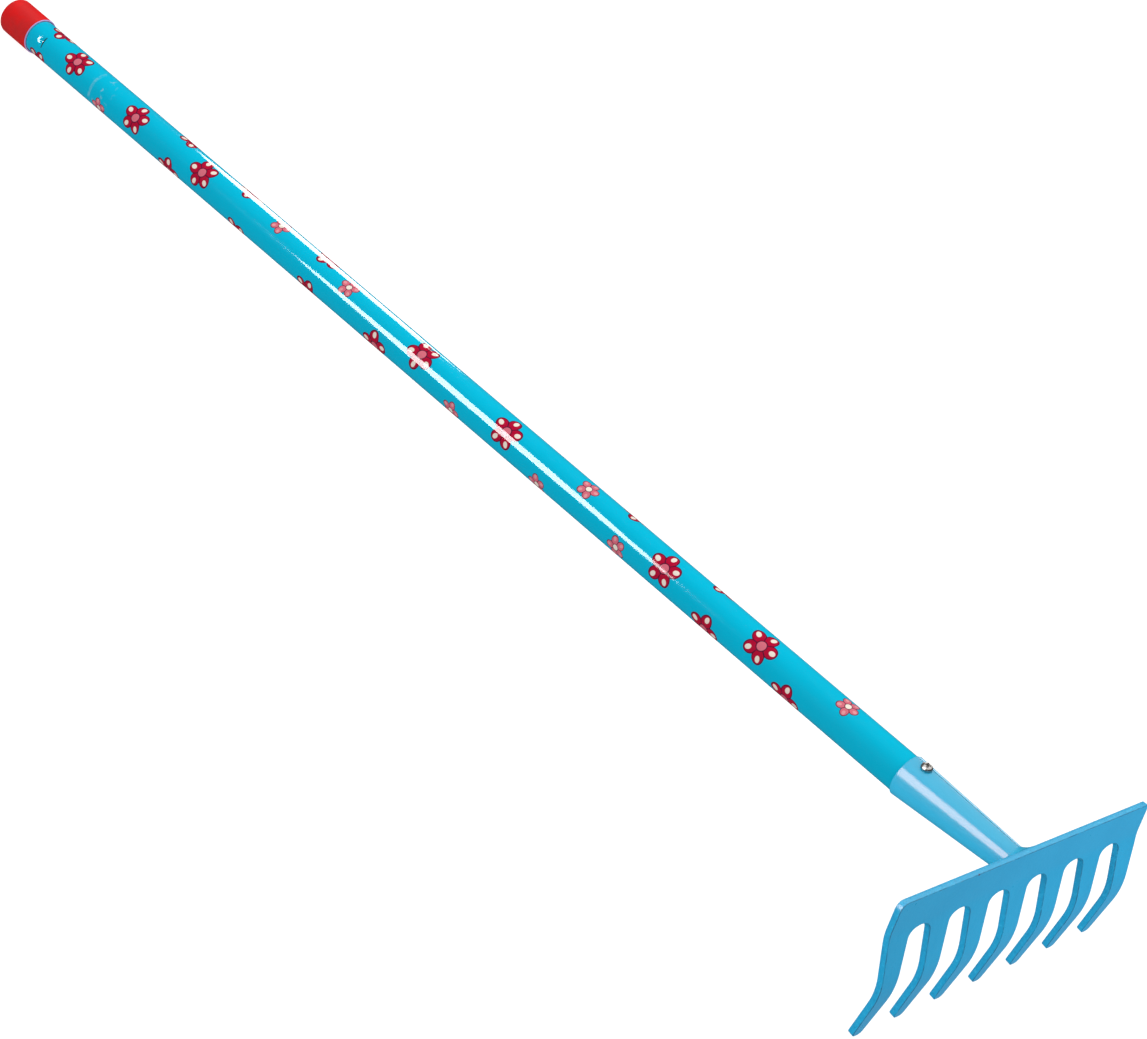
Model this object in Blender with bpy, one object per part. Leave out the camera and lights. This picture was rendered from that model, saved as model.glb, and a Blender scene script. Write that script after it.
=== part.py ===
# Kids rake: stamped steel head welded to a rolled cone socket, screwed to a
# film-covered steel tube that is closed by a moulded cap.
#
# Everything is laid out in millimetres in a "pole" frame first:
#   X along the head, Y along the handle towards the cap (0 at the head's top
#   front edge), Z square to both, with the handle's axis at x = z = 0.
# The whole part is then tipped so that the tine tips and the cap lie on z = 0.
import math

import bmesh
import bpy
import numpy as np
from mathutils import Matrix, Vector

# ------------------------------------------------------------------ head
PLATE_T = 3.3            # plate thickness
TOP_Z = 12.53            # top front edge above the handle's axis
TINES = 7
PITCH = 30.1             # tine to tine
HALF_W_TOP = 97.4        # half width at the top edge
HALF_W_SHOULDER = 97.8   # half width at the shoulder
SHOULDER_S = 20.3        # shoulder, measured down the plate
CORNER_R = 2.6           # top corners
SLOT_HALF = 8.1          # half width of a slot at its springline
SLOT_TOP_S = 16.9        # top of a slot, measured down the plate
SLOT_RISE = 5.0          # height of the slot's round top
TIP_HALF = 3.2           # half width of a tine's tip
TIP_R = 1.3              # tip corners
BAND_ANGLE = 4.7         # the three leans of the plate, from square to the handle
MID_ANGLE = 16.2
TIP_ANGLE = -8.4
BAND_LEN = 14.1
BEND1_R = 26.9
MID_LEN = 17.9
BEND2_R = 37.6
TIP_LEN = 21.5

# ---------------------------------------------------------------- socket
SOCKET_RIM_Y = 72.6      # wide end of the cone
SOCKET_RIM_R = 10.91
SOCKET_END_R = 7.37      # where its line meets the plate's back
SOCKET_END_LIFT = 2.05   # rise of the cone's axis at the plate
SOCKET_WALL = 0.65
SEAM_ANGLE = 78.0        # butt seam, degrees from +X towards +Z
SEAM_GAP = 0.55
FIT_GAP = 0.3            # clearance left between pieces that touch

# ------------------------------------------------------------------ weld
WELD_LEG_PLATE = 2.9
WELD_LEG_CONE = 4.6

# ----------------------------------------------------------------- screw
SCREW_ANGLE = 96.0
SCREW_Y = 64.4
SCREW_HEAD_R = 3.0
SCREW_HEAD_H = 2.1
SCREW_CORE_R = 1.2
SCREW_MAJOR_R = 1.6
SCREW_PITCH = 1.25
SCREW_LEN = 8.5
SCREW_HOLE_R = 1.9

# ----------------------------------------------------------- tube and film
FILM_R = 10.0
FILM_T = 0.3
TUBE_R = 9.4
TUBE_WALL = 0.5
TUBE_INSERT = 36.0       # length of tube inside the cone
LANCE_Y = 757.7          # cut of the crimp that holds the cap
LANCE_ANGLE = 154.5
LANCE_HALF_SPAN = 20.0   # degrees each side of its middle
LANCE_DEPTH = 1.4
LANCE_RUN = 7.0          # length of the ramp back to the full tube
LANCE_SLIT = 0.3

# ------------------------------------------------------------------- cap
CAP_RIM_Y = 771.5
CAP_END_Y = 797.9
CAP_R = 10.98
CAP_SKIRT_IN_R = 10.25
CAP_FILLET = 2.4
CAP_WEB = 2.4
PLUG_R = 8.6
PLUG_BORE_R = 5.6
PLUG_END_Y = 748.5
GROOVE_R = 7.0
GROOVE_LO_Y = 756.9
GROOVE_HI_Y = 766.2

RING = 72                # divisions of a round piece


# ------------------------------------------------------------------ tools
def rad(a):
    return math.radians(a)


class Shape:
    """Vertices in the pole frame (mm) and faces; turned into an object later."""

    def __init__(self, name):
        self.name = name
        self.v = []
        self.f = []

    def add(self, x, y, z):
        self.v.append((x, y, z))
        return len(self.v) - 1

    def face(self, *ids):
        self.f.append(tuple(ids))


def material(name, rgb, rough, metal):
    m = bpy.data.materials.new(name)
    m.use_nodes = True
    b = m.node_tree.nodes["Principled BSDF"]
    b.inputs["Base Color"].default_value = (rgb[0], rgb[1], rgb[2], 1.0)
    b.inputs["Roughness"].default_value = rough
    b.inputs["Metallic"].default_value = metal
    m.diffuse_color = (rgb[0], rgb[1], rgb[2], 1.0)
    return m


# ------------------------------------------------------- plate's side profile
def profile_table():
    """Rows of (s, y, z, lean) down the front face of the plate."""
    rows = []
    s, y, z = 0.0, 0.0, TOP_Z
    a1, a2, a3 = rad(BAND_ANGLE), rad(MID_ANGLE), rad(TIP_ANGLE)
    rows.append((s, y, z, a1))

    def run(length, lean):
        nonlocal s, y, z
        s += length
        y -= math.sin(lean) * length
        z -= math.cos(lean) * length

    run(BAND_LEN, a1)
    rows.append((s, y, z, a1))
    for radius, lean0, lean1, length in ((BEND1_R, a1, a2, MID_LEN), (BEND2_R, a2, a3, TIP_LEN)):
        steps = 12
        arc = abs(lean1 - lean0) * radius
        for i in range(steps):
            run(arc / steps, lean0 + (lean1 - lean0) * (i + 0.5) / steps)
            rows.append((s, y, z, lean0 + (lean1 - lean0) * (i + 1) / steps))
        run(length, lean1)
        rows.append((s, y, z, lean1))
    return np.array(rows)


PROFILE = profile_table()
PLATE_LEN = float(PROFILE[-1, 0])


def on_plate(x, s, back):
    y = float(np.interp(s, PROFILE[:, 0], PROFILE[:, 1]))
    z = float(np.interp(s, PROFILE[:, 0], PROFILE[:, 2]))
    lean = float(np.interp(s, PROFILE[:, 0], PROFILE[:, 3]))
    if back:
        y += PLATE_T * math.cos(lean)
        z -= PLATE_T * math.sin(lean)
    return (x, y, z)


def tip_round(s):
    """How much a tine's half width loses to its rounded tip corners."""
    d = s - (PLATE_LEN - TIP_R)
    if d <= 0:
        return 0.0
    return TIP_R - math.sqrt(max(TIP_R * TIP_R - d * d, 0.0))


def tine_half(s):
    spring = SLOT_TOP_S + SLOT_RISE
    k = (s - spring) / (PLATE_LEN - spring)
    root = PITCH / 2 - SLOT_HALF
    return root + (TIP_HALF - root) * k - tip_round(s)


def slot_half(s):
    """Half width of a slot where its top is still round."""
    spring = SLOT_TOP_S + SLOT_RISE
    q = (spring - s) / SLOT_RISE
    return SLOT_HALF * math.sqrt(max(1.0 - q * q, 0.0))


def end_half(s):
    """Half width of the whole plate, out to the outer edge of the end tines."""
    tip = (TINES - 1) / 2 * PITCH + TIP_HALF
    if s < SHOULDER_S:
        w = HALF_W_TOP + (HALF_W_SHOULDER - HALF_W_TOP) * s / SHOULDER_S
    else:
        w = HALF_W_SHOULDER + (tip - HALF_W_SHOULDER) * (s - SHOULDER_S) / (PLATE_LEN - SHOULDER_S)
    if s < CORNER_R:
        w -= CORNER_R - math.sqrt(max(CORNER_R ** 2 - (CORNER_R - s) ** 2, 0.0))
    return w - tip_round(s)


def build_head():
    spring = SLOT_TOP_S + SLOT_RISE
    levels = {0.0, PLATE_LEN, BAND_LEN, SLOT_TOP_S, spring, SHOULDER_S, 8.0, PLATE_LEN - TIP_R}
    for i in range(1, 6):
        levels.add(CORNER_R * (1 - math.cos(rad(90) * i / 5)))
        levels.add(PLATE_LEN - TIP_R + TIP_R * math.sin(rad(90) * i / 5))
    for i in range(1, 10):
        levels.add(spring - SLOT_RISE * math.cos(rad(90) * i / 10))
    for row in PROFILE:
        levels.add(float(row[0]))
    levels = sorted(levels)
    merged = [levels[0]]
    for s in levels[1:]:
        if s - merged[-1] > 0.05:
            merged.append(s)
    merged[-1] = PLATE_LEN
    levels = merged

    sh = Shape("rake_head")
    cache = {}

    def vert(col, side, lev, back):
        """Column edge: side 0 left, 1 right. The band's columns share edges."""
        s = levels[lev]
        first, last = col == 0 and side == 0, col == TINES - 1 and side == 1
        if first or last:
            key = ("end", side, lev, back)
            x = end_half(s) * (-1 if first else 1)
        elif s <= SLOT_TOP_S + 1e-9:
            cut = col - 1 if side == 0 else col
            key = ("cut", cut, lev, back)
            x = (cut - (TINES - 2) / 2) * PITCH
        else:
            key = (col, side, lev, back)
            mid = (col - (TINES - 1) / 2) * PITCH
            if s < spring:
                half = PITCH / 2 - slot_half(s)
            else:
                half = tine_half(s)
            x = mid + (half if side else -half)
        if key not in cache:
            cache[key] = sh.add(*on_plate(x, s, back))
        return cache[key]

    n = len(levels)
    for col in range(TINES):
        for i in range(n - 1):
            for back in (False, True):
                q = [vert(col, 0, i, back), vert(col, 1, i, back),
                     vert(col, 1, i + 1, back), vert(col, 0, i + 1, back)]
                sh.face(*q)
            for side in (0, 1):
                outer = (col == 0 and side == 0) or (col == TINES - 1 and side == 1)
                if outer or levels[i] >= SLOT_TOP_S - 1e-9:
                    sh.face(vert(col, side, i, False), vert(col, side, i + 1, False),
                            vert(col, side, i + 1, True), vert(col, side, i, True))
        sh.face(vert(col, 0, 0, False), vert(col, 1, 0, False), vert(col, 1, 0, True), vert(col, 0, 0, True))
        e = n - 1
        sh.face(vert(col, 0, e, False), vert(col, 1, e, False), vert(col, 1, e, True), vert(col, 0, e, True))
    return sh


# ------------------------------------------------------------------ socket
BACK_N = (math.cos(rad(BAND_ANGLE)), -math.sin(rad(BAND_ANGLE)))      # (y, z)
BACK_OFF = BACK_N[1] * TOP_Z + PLATE_T
CONE_LEN = SOCKET_RIM_Y - PLATE_T


def cone_centre(y):
    d = max(SOCKET_RIM_Y - y, 0.0)
    return SOCKET_END_LIFT * d / CONE_LEN


def cone_radius(y):
    d = SOCKET_RIM_Y - y
    return SOCKET_RIM_R + (SOCKET_END_R - SOCKET_RIM_R) * d / CONE_LEN


def cone_point(y, angle, inset):
    r = cone_radius(y) - inset
    return (r * math.cos(angle), y, cone_centre(y) + r * math.sin(angle))


def cone_to_plane(angle, inset, gap):
    """Where a straight line of the cone comes within gap of the plate's back."""
    p0 = cone_point(SOCKET_RIM_Y, angle, inset)
    p1 = cone_point(PLATE_T, angle, inset)
    f0 = BACK_N[0] * p0[1] + BACK_N[1] * p0[2] - BACK_OFF - gap
    f1 = BACK_N[0] * p1[1] + BACK_N[1] * p1[2] - BACK_OFF - gap
    return SOCKET_RIM_Y + (PLATE_T - SOCKET_RIM_Y) * f0 / (f0 - f1)


def build_socket():
    sh = Shape("socket")
    rows = []
    parts = 6
    for k in range(parts + 1):
        row = []
        for j in range(RING + 1):
            for inset in (0.0, SOCKET_WALL):
                end = cone_to_plane(rad(SEAM_ANGLE), inset, FIT_GAP)
                y_mid = SOCKET_RIM_Y + (end - SOCKET_RIM_Y) * k / parts
                half = SEAM_GAP / 2 / max(cone_radius(y_mid) - inset, 1.0)
                a = rad(SEAM_ANGLE) + half + (2 * math.pi - 2 * half) * j / RING
                end = cone_to_plane(a, inset, FIT_GAP)
                y = SOCKET_RIM_Y + (end - SOCKET_RIM_Y) * k / parts
                row.append(sh.add(*cone_point(y, a, inset)))
        rows.append(row)

    def at(k, j, inner):
        return rows[k][2 * j + inner]

    for k in range(parts):
        for j in range(RING):
            for inner in (0, 1):
                sh.face(at(k, j, inner), at(k, j + 1, inner), at(k + 1, j + 1, inner), at(k + 1, j, inner))
        for j in (0, RING):
            sh.face(at(k, j, 0), at(k + 1, j, 0), at(k + 1, j, 1), at(k, j, 1))
    for k in (0, parts):
        for j in range(RING):
            sh.face(at(k, j, 0), at(k, j + 1, 0), at(k, j + 1, 1), at(k, j, 1))
    return sh


def build_weld():
    """Closed bead round the cone's narrow end, in the corner with the plate."""
    sh = Shape("socket_weld")
    clear = 0.2
    rings = []
    for j in range(RING):
        a = 2 * math.pi * j / RING
        y0 = cone_to_plane(a, -clear, clear)
        root = Vector(cone_point(y0, a, -clear))
        up = Vector(cone_point(y0 + WELD_LEG_CONE, a, -clear))
        # outward direction lying in the plane of the plate's back
        radial = Vector((math.cos(a), 0.0, math.sin(a)))
        nrm = Vector((0.0, BACK_N[0], BACK_N[1]))
        out = (radial - nrm * radial.dot(nrm)).normalized()
        toe = root + out * WELD_LEG_PLATE
        ring = [root, toe, toe + nrm * 0.5]
        for t in (0.25, 0.5, 0.75):
            p = (toe + nrm * 0.5).lerp(up + out * 0.3, t)
            pull = math.sin(math.pi * t) * 0.55
            ring.append(p.lerp(root, pull * 0.35))
        ring.append(up + out * 0.3)
        ring.append(up)
        rings.append([sh.add(*p) for p in ring])
    m = len(rings[0])
    for j in range(RING):
        b = rings[(j + 1) % RING]
        a = rings[j]
        for i in range(m):
            sh.face(a[i], a[(i + 1) % m], b[(i + 1) % m], b[i])
    return sh


# ------------------------------------------------------------ tube and film
def lance_depth(angle_deg, y):
    u = (angle_deg - LANCE_ANGLE) / LANCE_HALF_SPAN
    v = (y - LANCE_Y - LANCE_SLIT) / LANCE_RUN
    if abs(u) >= 1 or v < -1e-9 or v >= 1:
        return 0.0
    v = max(v, 0.0)
    return LANCE_DEPTH * math.cos(u * math.pi / 2) ** 2 * (1 - v) ** 2 * (1 + 2 * v)


def build_pipe(name, stations):
    """Thin pipe along Y with the crimp. stations: (y, centre z, outer r, inner r)."""
    sh = Shape(name)
    rows = []
    slit = None
    for i, (y, cz, ro, ri) in enumerate(stations):
        if abs(y - LANCE_Y) < 1e-6:
            slit = i
        row = []
        for j in range(RING):
            deg = LANCE_ANGLE + 360.0 * j / RING
            off = deg if deg <= LANCE_ANGLE + 180 else deg - 360.0
            d = lance_depth(off, y)
            a = rad(deg)
            row.append(tuple(sh.add((r - d) * math.cos(a), y, cz + (r - d) * math.sin(a)) for r in (ro, ri)))
        rows.append(row)
    step = 360.0 / RING
    half = int(round(LANCE_HALF_SPAN / step))
    cut = {j % RING for j in range(-half, half)}
    for i in range(len(rows) - 1):
        for j in range(RING):
            k = (j + 1) % RING
            if i == slit and j in cut:
                for row in (rows[i], rows[i + 1]):
                    sh.face(row[j][0], row[k][0], row[k][1], row[j][1])
                continue
            for w in (0, 1):
                sh.face(rows[i][j][w], rows[i][k][w], rows[i + 1][k][w], rows[i + 1][j][w])
        if i == slit:
            for j in (-half % RING, half):
                sh.face(rows[i][j][0], rows[i + 1][j][0], rows[i + 1][j][1], rows[i][j][1])
    for row in (rows[0], rows[-1]):
        for j in range(RING):
            k = (j + 1) % RING
            sh.face(row[j][0], row[k][0], row[k][1], row[j][1])
    return sh


def lance_rows():
    ys = [LANCE_Y - 2.0, LANCE_Y, LANCE_Y + LANCE_SLIT]
    ys += [LANCE_Y + LANCE_SLIT + LANCE_RUN * k / 6 for k in range(1, 7)]
    return ys


PIPE_TOP_Y = CAP_END_Y - CAP_WEB - FIT_GAP


def build_tube():
    st = []
    n = 10
    for k in range(n + 1):
        y = SOCKET_RIM_Y - TUBE_INSERT + TUBE_INSERT * k / n
        r = min(TUBE_R, cone_radius(y) - SOCKET_WALL - FIT_GAP)
        st.append((y, cone_centre(y), r, r - TUBE_WALL))
    for y in lance_rows() + [PIPE_TOP_Y]:
        st.append((y, 0.0, TUBE_R, TUBE_R - TUBE_WALL))
    return build_pipe("handle_tube", st)


def build_film():
    ys = [SOCKET_RIM_Y - 1.5, SOCKET_RIM_Y + 200, SOCKET_RIM_Y + 440] + lance_rows() + [PIPE_TOP_Y]
    return build_pipe("handle_film", [(y, 0.0, FILM_R, FILM_R - FILM_T) for y in ys])


# --------------------------------------------------------------------- cap
def build_cap():
    pts = [(CAP_R, CAP_RIM_Y)]
    for i in range(9):
        t = rad(90) * i / 8
        pts.append((CAP_R - CAP_FILLET + CAP_FILLET * math.cos(t), CAP_END_Y - CAP_FILLET + CAP_FILLET * math.sin(t)))
    web = CAP_END_Y - CAP_WEB
    pts.append((0.0, CAP_END_Y))
    pts.append((0.0, web))
    pts += [(PLUG_BORE_R, web), (PLUG_BORE_R, PLUG_END_Y), (PLUG_R - 0.9, PLUG_END_Y), (PLUG_R, PLUG_END_Y + 2.5),
            (PLUG_R, GROOVE_LO_Y), (GROOVE_R, GROOVE_LO_Y), (GROOVE_R, GROOVE_HI_Y - (PLUG_R - GROOVE_R)), (PLUG_R, GROOVE_HI_Y),
            (PLUG_R, web), (CAP_SKIRT_IN_R, web), (CAP_SKIRT_IN_R, CAP_RIM_Y)]
    sh = Shape("end_cap")
    rings = []
    for r, y in pts:
        if r < 1e-9:
            rings.append([sh.add(0.0, y, 0.0)])
        else:
            rings.append([sh.add(r * math.cos(2 * math.pi * j / RING), y, r * math.sin(2 * math.pi * j / RING)) for j in range(RING)])
    m = len(rings)
    for i in range(m):
        a, b = rings[i], rings[(i + 1) % m]
        if len(a) == 1 and len(b) == 1:
            continue
        for j in range(RING):
            k = (j + 1) % RING
            if len(b) == 1:
                sh.face(a[j], a[k], b[0])
            elif len(a) == 1:
                sh.face(a[0], b[k], b[j])
            else:
                sh.face(a[j], a[k], b[k], b[j])
    return sh


# ------------------------------------------------------------------- screw
def screw_frame():
    """Seat of the screw on the cone's outside: origin and outward axis."""
    a = rad(SCREW_ANGLE)
    p = Vector(cone_point(SCREW_Y, a, 0.0))
    along = (Vector(cone_point(SCREW_Y + 1.0, a, 0.0)) - p).normalized()
    radial = Vector((math.cos(a), 0.0, math.sin(a)))
    axis = (radial - along * radial.dot(along)).normalized()
    side = along.cross(axis).normalized()
    m = Matrix((side, along, axis)).transposed().to_4x4()
    m.translation = p
    return m


def build_screw():
    sh = Shape("socket_screw")
    m = screw_frame()
    n = 32
    seat = FIT_GAP
    rows = []

    def ring(fn, h):
        row = []
        for j in range(n):
            t = 2 * math.pi * j / n
            r = fn(t)
            row.append(sh.add(*(m @ Vector((r * math.cos(t), r * math.sin(t), h)))))
        rows.append(row)

    top = sh.add(*(m @ Vector((0, 0, seat + SCREW_HEAD_H))))
    dome = 8
    for i in range(1, dome + 1):
        t = rad(90) * i / dome
        r = SCREW_HEAD_R * math.sin(t) ** 0.62
        h = seat + 0.5 + (SCREW_HEAD_H - 0.5) * math.cos(t) ** 0.9 if i < dome else seat + 0.5
        ring(lambda _t, r=r: r, h)
    ring(lambda _t: SCREW_HEAD_R, seat + 0.12)
    ring(lambda _t: SCREW_HEAD_R - 0.12, seat)
    ring(lambda _t: SCREW_CORE_R, seat)
    count = int(SCREW_LEN / (SCREW_PITCH / 8))
    for i in range(1, count + 1):
        d = SCREW_LEN * i / count
        core = SCREW_CORE_R
        point = max(0.0, (d - (SCREW_LEN - 3.2)) / 3.2)
        core *= max(1.0 - point, 0.06)
        rise = min(d / 0.8, 1.0) * (1.0 - point)

        def thread(t, d=d, core=core, rise=rise):
            q = (d / SCREW_PITCH - t / (2 * math.pi)) % 1.0
            tri = max(0.0, 1.0 - abs(q - 0.5) * 3.2)
            return core + (SCREW_MAJOR_R - SCREW_CORE_R) * tri * rise

        ring(thread, seat - d)
    tip = sh.add(*(m @ Vector((0, 0, seat - SCREW_LEN - 0.25))))
    for j in range(n):
        k = (j + 1) % n
        sh.face(top, rows[0][j], rows[0][k])
        sh.face(tip, rows[-1][k], rows[-1][j])
    for i in range(len(rows) - 1):
        for j in range(n):
            k = (j + 1) % n
            sh.face(rows[i][j], rows[i + 1][j], rows[i + 1][k], rows[i][k])
    return sh


def build_hole_cutter():
    sh = Shape("cut_screw_hole")
    m = screw_frame()
    n = 32
    lo = [sh.add(*(m @ Vector((SCREW_HOLE_R * math.cos(2 * math.pi * j / n), SCREW_HOLE_R * math.sin(2 * math.pi * j / n), -4.0)))) for j in range(n)]
    hi = [sh.add(*(m @ Vector((SCREW_HOLE_R * math.cos(2 * math.pi * j / n), SCREW_HOLE_R * math.sin(2 * math.pi * j / n), 3.0)))) for j in range(n)]
    for j in range(n):
        k = (j + 1) % n
        sh.face(lo[j], lo[k], hi[k], hi[j])
    sh.face(*lo[::-1])
    sh.face(*hi)
    return sh


def build_recess_cutter():
    """Cross recess, wide at the top and narrow at the bottom, as one outline."""
    sh = Shape("cut_recess")
    m = screw_frame() @ Matrix.Rotation(rad(28), 4, "Z")
    top, bottom = FIT_GAP + SCREW_HEAD_H + 0.4, FIT_GAP + SCREW_HEAD_H - 1.35
    loops = []
    for h, arm, half in ((top, 2.05, 0.52), (bottom, 0.85, 0.3)):
        pts = [(arm, -half), (arm, half), (half, half), (half, arm), (-half, arm), (-half, half),
               (-arm, half), (-arm, -half), (-half, -half), (-half, -arm), (half, -arm), (half, -half)]
        loops.append([sh.add(*(m @ Vector((x, y, h)))) for x, y in pts])
    a, b = loops
    n = len(a)
    for j in range(n):
        k = (j + 1) % n
        sh.face(a[j], a[k], b[k], b[j])
    sh.face(*a)
    sh.face(*b[::-1])
    return sh


# ------------------------------------------------------------ lay it down
def tipped(verts, angle):
    v = np.asarray(verts, float)
    c, s = math.cos(angle), math.sin(angle)
    return np.c_[v[:, 0], v[:, 1] * c + v[:, 2] * s, -v[:, 1] * s + v[:, 2] * c]


def resting_angle(head, cap):
    lo, hi = 0.0, rad(12)
    for _ in range(60):
        mid = (lo + hi) / 2
        if tipped(head.v, mid)[:, 2].min() < tipped(cap.v, mid)[:, 2].min():
            lo = mid
        else:
            hi = mid
    return (lo + hi) / 2


def to_object(sh, angle, shift, mat, guide=False):
    v = (tipped(sh.v, angle) + shift) * 0.001
    me = bpy.data.meshes.new(sh.name)
    me.from_pydata([tuple(p) for p in v], [], sh.f)
    bm = bmesh.new()
    bm.from_mesh(me)
    bmesh.ops.recalc_face_normals(bm, faces=bm.faces)
    bm.to_mesh(me)
    bm.free()
    ob = bpy.data.objects.new(sh.name, me)
    bpy.context.scene.collection.objects.link(ob)
    if mat:
        me.materials.append(mat)
    if guide:
        ob.hide_render = True
        ob.display_type = "WIRE"
    return ob


def cut(ob, tool):
    mod = ob.modifiers.new("cut_" + tool.name, "BOOLEAN")
    mod.operation = "DIFFERENCE"
    mod.solver = "EXACT"
    mod.object = tool


def main():
    for ob in list(bpy.data.objects):
        bpy.data.objects.remove(ob, do_unlink=True)

    head, socket, weld = build_head(), build_socket(), build_weld()
    screw, tube, film, cap = build_screw(), build_tube(), build_film(), build_cap()
    hole, recess = build_hole_cutter(), build_recess_cutter()

    angle = resting_angle(head, cap)
    every = np.concatenate([tipped(s.v, angle) for s in (head, socket, weld, screw, tube, film, cap)])
    lo, hi = every.min(axis=0), every.max(axis=0)
    shift = np.array([0.0, -(lo[1] + hi[1]) / 2, -lo[2]])

    blue = material("head_paint", (0.050, 0.352, 0.610), 0.35, 0.0)
    light = material("socket_paint", (0.098, 0.485, 0.752), 0.3, 0.0)
    bead = material("weld_paint", (0.090, 0.450, 0.720), 0.35, 0.0)
    steel = material("screw_steel", (0.52, 0.50, 0.48), 0.3, 1.0)
    bare = material("tube_steel", (0.55, 0.56, 0.57), 0.4, 1.0)
    print_film = material("film_print", (0.0, 0.456, 0.644), 0.15, 0.0)
    red = material("cap_plastic", (0.578, 0.013, 0.013), 0.45, 0.0)

    to_object(head, angle, shift, blue)
    o_socket = to_object(socket, angle, shift, light)
    to_object(weld, angle, shift, bead)
    o_screw = to_object(screw, angle, shift, steel)
    o_tube = to_object(tube, angle, shift, bare)
    to_object(film, angle, shift, print_film)
    to_object(cap, angle, shift, red)

    o_hole = to_object(hole, angle, shift, None, guide=True)
    o_recess = to_object(recess, angle, shift, None, guide=True)
    cut(o_socket, o_hole)
    cut(o_tube, o_hole)
    cut(o_screw, o_recess)


main()
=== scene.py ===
# Looks of the kids rake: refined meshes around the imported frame, procedural
# finishes, a pale floor and soft studio light.
import math

import bmesh
import bpy
import numpy as np
from mathutils import Matrix, Vector


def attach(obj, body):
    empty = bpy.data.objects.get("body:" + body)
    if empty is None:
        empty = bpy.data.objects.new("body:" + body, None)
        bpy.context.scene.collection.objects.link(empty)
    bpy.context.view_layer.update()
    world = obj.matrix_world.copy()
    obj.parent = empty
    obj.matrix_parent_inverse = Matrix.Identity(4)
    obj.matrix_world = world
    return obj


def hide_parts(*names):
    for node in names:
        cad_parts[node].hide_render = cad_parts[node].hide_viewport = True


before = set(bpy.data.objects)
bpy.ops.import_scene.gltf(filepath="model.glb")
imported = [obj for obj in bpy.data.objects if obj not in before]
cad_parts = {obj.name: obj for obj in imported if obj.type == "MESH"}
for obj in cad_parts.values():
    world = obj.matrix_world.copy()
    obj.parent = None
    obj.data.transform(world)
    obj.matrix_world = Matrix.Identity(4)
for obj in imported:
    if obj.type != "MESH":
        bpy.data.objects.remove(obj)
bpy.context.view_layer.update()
scene = bpy.context.scene

# ---------------------------------------------------------------- lay-out
# Shapes are worked out in the rake's own "pole" frame, in millimetres: X along
# the head, Y along the handle towards the cap, Z square to both, handle axis at
# x = z = 0. LEAN and SHIFT lay it down on its tine tips and its cap.
LEAN = 0.06272940176135838
SHIFT = np.array([0.0, -393.0157272234418, 60.82692288243515])

PLATE_T, TOP_Z = 3.3, 12.53
TINES, PITCH = 7, 30.1
HALF_W_TOP, HALF_W_SHOULDER, SHOULDER_S, CORNER_R, CORNER_RR = 97.4, 97.8, 20.3, 4.0, 1.2
SLOT_HALF, SLOT_TOP_S, SLOT_RISE = 8.1, 16.9, 5.0
TIP_HALF, TIP_R = 3.2, 2.2
EDGE_F, EDGE_B = 0.24, 0.24                              # rounding of the plate's front and back edges
BAND_ANGLE, MID_ANGLE, TIP_ANGLE = 4.7, 16.2, -8.4
BAND_LEN, BEND1_R, MID_LEN, BEND2_R, TIP_LEN = 14.1, 26.9, 17.9, 37.6, 21.49

SOCKET_RIM_Y, SOCKET_RIM_R, SOCKET_END_R, SOCKET_END_LIFT = 72.6, 10.91, 7.37, 2.05
SOCKET_WALL, SEAM_ANGLE, SEAM_GAP, FIT_GAP = 0.65, 82.0, 0.55, 0.3
WELD_LEG_PLATE, WELD_LEG_CONE = 2.9, 4.6

SCREW_ANGLE, SCREW_Y = 96.0, 64.4
SCREW_HEAD_R, SCREW_HEAD_H = 3.0, 2.1
SCREW_CORE_R, SCREW_MAJOR_R, SCREW_PITCH, SCREW_LEN, SCREW_HOLE_R = 1.2, 1.6, 1.25, 8.5, 1.9

FILM_R, FILM_T = 10.0, 0.3
LANCE_Y, LANCE_ANGLE, LANCE_HALF_SPAN = 757.7, 154.5, 20.0
LANCE_DEPTH, LANCE_RUN, LANCE_SLIT = 1.4, 6.0, 0.3

CAP_RIM_Y, CAP_END_Y, CAP_R, CAP_SKIRT_IN_R = 771.5, 797.89, 10.97, 10.25
CAP_FILLET, CAP_WEB = 2.4, 2.4
PLUG_R, PLUG_BORE_R, PLUG_END_Y = 8.6, 5.6, 748.5
GROOVE_R, GROOVE_LO_Y, GROOVE_HI_Y = 7.0, 756.9, 766.2
PIPE_TOP_Y = CAP_END_Y - CAP_WEB - FIT_GAP


def rad(a):
    return math.radians(a)


def place(v):
    """Pole frame in mm to the frame's metres."""
    v = np.asarray(v, float).reshape(-1, 3)
    c, s = math.cos(LEAN), math.sin(LEAN)
    w = np.c_[v[:, 0], v[:, 1] * c + v[:, 2] * s, -v[:, 1] * s + v[:, 2] * c]
    return (w + SHIFT) * 0.001


def new_object(name, verts, faces):
    me = bpy.data.meshes.new(name)
    me.from_pydata([tuple(p) for p in place(verts)], [], faces)
    ob = bpy.data.objects.new(name, me)
    scene.collection.objects.link(ob)
    return ob


def face_out(ob):
    bm = bmesh.new()
    bm.from_mesh(ob.data)
    bmesh.ops.recalc_face_normals(bm, faces=bm.faces)
    bm.to_mesh(ob.data)
    bm.free()


def stands_for(ob, node, mat):
    ob.data.materials.clear()
    ob.data.materials.append(mat)
    ob.data.shade_smooth()
    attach(ob, "root")
    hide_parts(node)
    return ob


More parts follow.
